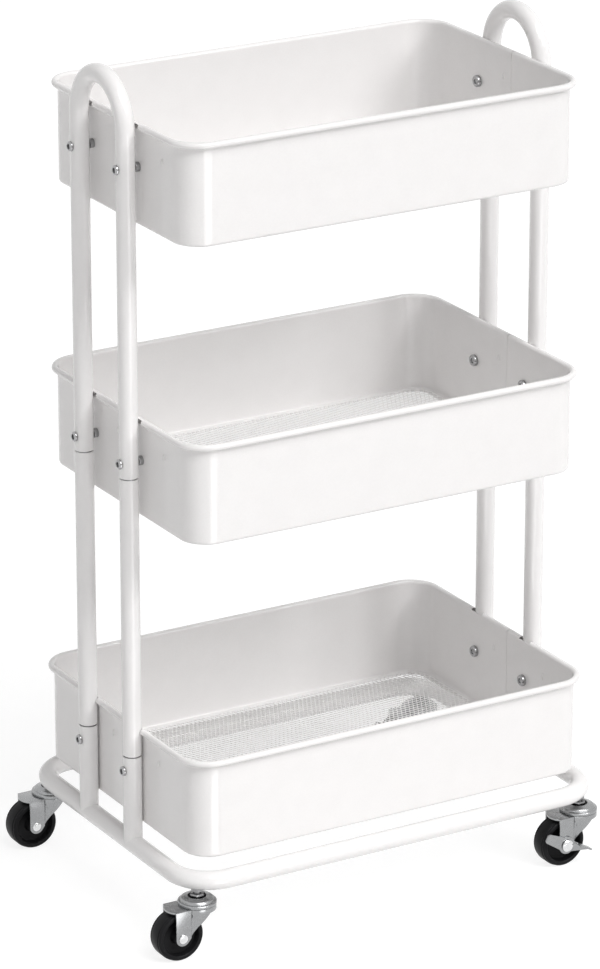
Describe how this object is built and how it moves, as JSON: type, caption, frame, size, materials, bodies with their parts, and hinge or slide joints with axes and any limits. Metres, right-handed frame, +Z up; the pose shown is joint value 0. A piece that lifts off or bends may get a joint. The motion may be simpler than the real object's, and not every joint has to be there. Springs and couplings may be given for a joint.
{
  "type": "rolling utility cart",
  "caption": "Tiered utility cart on swivel casters: rolled-rim sheet trays with mesh floors, bolted between tubular hoops that rise above the top tray as handles.",
  "frame": {"origin": "on the floor under the middle of the cart's box, with the casters trailing to -X", "axes": "+Z up, +X along the trays towards the braked end, +Y towards the back"},
  "size_m": [0.5148, 0.3526, 0.8629],
  "materials": {
    "frame_coat": "semi-gloss",
    "tray_coat": "semi-gloss",
    "mesh_coat": "semi-gloss",
    "fastener_steel": "bright",
    "bolt_nickel": "nickel plated",
    "zinc_plate": "zinc plated",
    "wheel_black": "matte"
  },
  "bodies": {
    "frame": {"base_ring": "frame_coat", "base_stub_front_left": "frame_coat", "post_front_left": "frame_coat", "base_stub_back_left": "frame_coat", "post_back_left": "frame_coat", "base_stub_front_right": "frame_coat", "post_front_right": "frame_coat", "base_stub_back_right": "frame_coat", "post_back_right": "frame_coat", "handle_hoop_left": "frame_coat", "handle_hoop_right": "frame_coat", "tray_wall_top": "tray_coat", "tray_floor_top": "mesh_coat", "tray_bolts_top": "bolt_nickel", "tray_nuts_top": "bolt_nickel", "tray_wall_middle": "tray_coat", "tray_floor_middle": "mesh_coat", "tray_bolts_middle": "bolt_nickel", "tray_nuts_middle": "bolt_nickel", "tray_wall_bottom": "tray_coat", "tray_floor_bottom": "mesh_coat", "tray_bolts_bottom": "bolt_nickel", "tray_nuts_bottom": "bolt_nickel", "tray_spacers_top": "bolt_nickel", "tray_spacers_middle": "bolt_nickel", "stem_bushes": "fastener_steel", "stem_lock_nuts": "fastener_steel", "caster_stem_front_left": "fastener_steel", "caster_cap_front_left": "zinc_plate", "caster_stem_back_left": "fastener_steel", "caster_cap_back_left": "zinc_plate", "caster_stem_front_right": "fastener_steel", "caster_cap_front_right": "zinc_plate", "caster_stem_back_right": "fastener_steel", "caster_cap_back_right": "zinc_plate"},
    "fork_front_left": {"caster_fork_front_left": "zinc_plate", "caster_axle_front_left": "fastener_steel", "caster_balls_front_left": "fastener_steel"},
    "wheel_front_left": {"caster_wheel_front_left": "wheel_black"},
    "fork_back_left": {"caster_fork_back_left": "zinc_plate", "caster_axle_back_left": "fastener_steel", "caster_balls_back_left": "fastener_steel"},
    "wheel_back_left": {"caster_wheel_back_left": "wheel_black"},
    "fork_front_right": {"caster_fork_front_right": "zinc_plate", "caster_axle_front_right": "fastener_steel", "caster_balls_front_right": "fastener_steel"},
    "wheel_front_right": {"caster_wheel_front_right": "wheel_black"},
    "brake_front_right": {"brake_lever_front_right": "zinc_plate"},
    "fork_back_right": {"caster_fork_back_right": "zinc_plate", "caster_axle_back_right": "fastener_steel", "caster_balls_back_right": "fastener_steel"},
    "wheel_back_right": {"caster_wheel_back_right": "wheel_black"},
    "brake_back_right": {"brake_lever_back_right": "zinc_plate"}
  },
  "joints": [
    {"name": "swivel_front_left", "type": "hinge", "parent": "frame", "child": "fork_front_left", "pos_m": [-0.20944, -0.15428, 0.0535], "axis": [0, 0, 1], "continuous": true},
    {"name": "roll_front_left", "type": "hinge", "parent": "fork_front_left", "child": "wheel_front_left", "pos_m": [-0.23244, -0.15428, 0.025], "axis": [0, 1, 0], "continuous": true},
    {"name": "swivel_back_left", "type": "hinge", "parent": "frame", "child": "fork_back_left", "pos_m": [-0.20944, 0.15428, 0.0535], "axis": [0, 0, 1], "continuous": true},
    {"name": "roll_back_left", "type": "hinge", "parent": "fork_back_left", "child": "wheel_back_left", "pos_m": [-0.23244, 0.15428, 0.025], "axis": [0, 1, 0], "continuous": true},
    {"name": "swivel_front_right", "type": "hinge", "parent": "frame", "child": "fork_front_right", "pos_m": [0.23313, -0.15428, 0.0535], "axis": [0, 0, 1], "continuous": true},
    {"name": "roll_front_right", "type": "hinge", "parent": "fork_front_right", "child": "wheel_front_right", "pos_m": [0.21013, -0.15428, 0.025], "axis": [0, 1, 0], "continuous": true},
    {"name": "brake_tilt_front_right", "type": "hinge", "parent": "fork_front_right", "child": "brake_front_right", "pos_m": [0.21013, -0.15428, 0.025], "axis": [0, -1, 0], "range_deg": [0, 40]},
    {"name": "swivel_back_right", "type": "hinge", "parent": "frame", "child": "fork_back_right", "pos_m": [0.23313, 0.15428, 0.0535], "axis": [0, 0, 1], "continuous": true},
    {"name": "roll_back_right", "type": "hinge", "parent": "fork_back_right", "child": "wheel_back_right", "pos_m": [0.21013, 0.15428, 0.025], "axis": [0, 1, 0], "continuous": true},
    {"name": "brake_tilt_back_right", "type": "hinge", "parent": "fork_back_right", "child": "brake_back_right", "pos_m": [0.21013, 0.15428, 0.025], "axis": [0, -1, 0], "range_deg": [0, 40]}
  ]
}
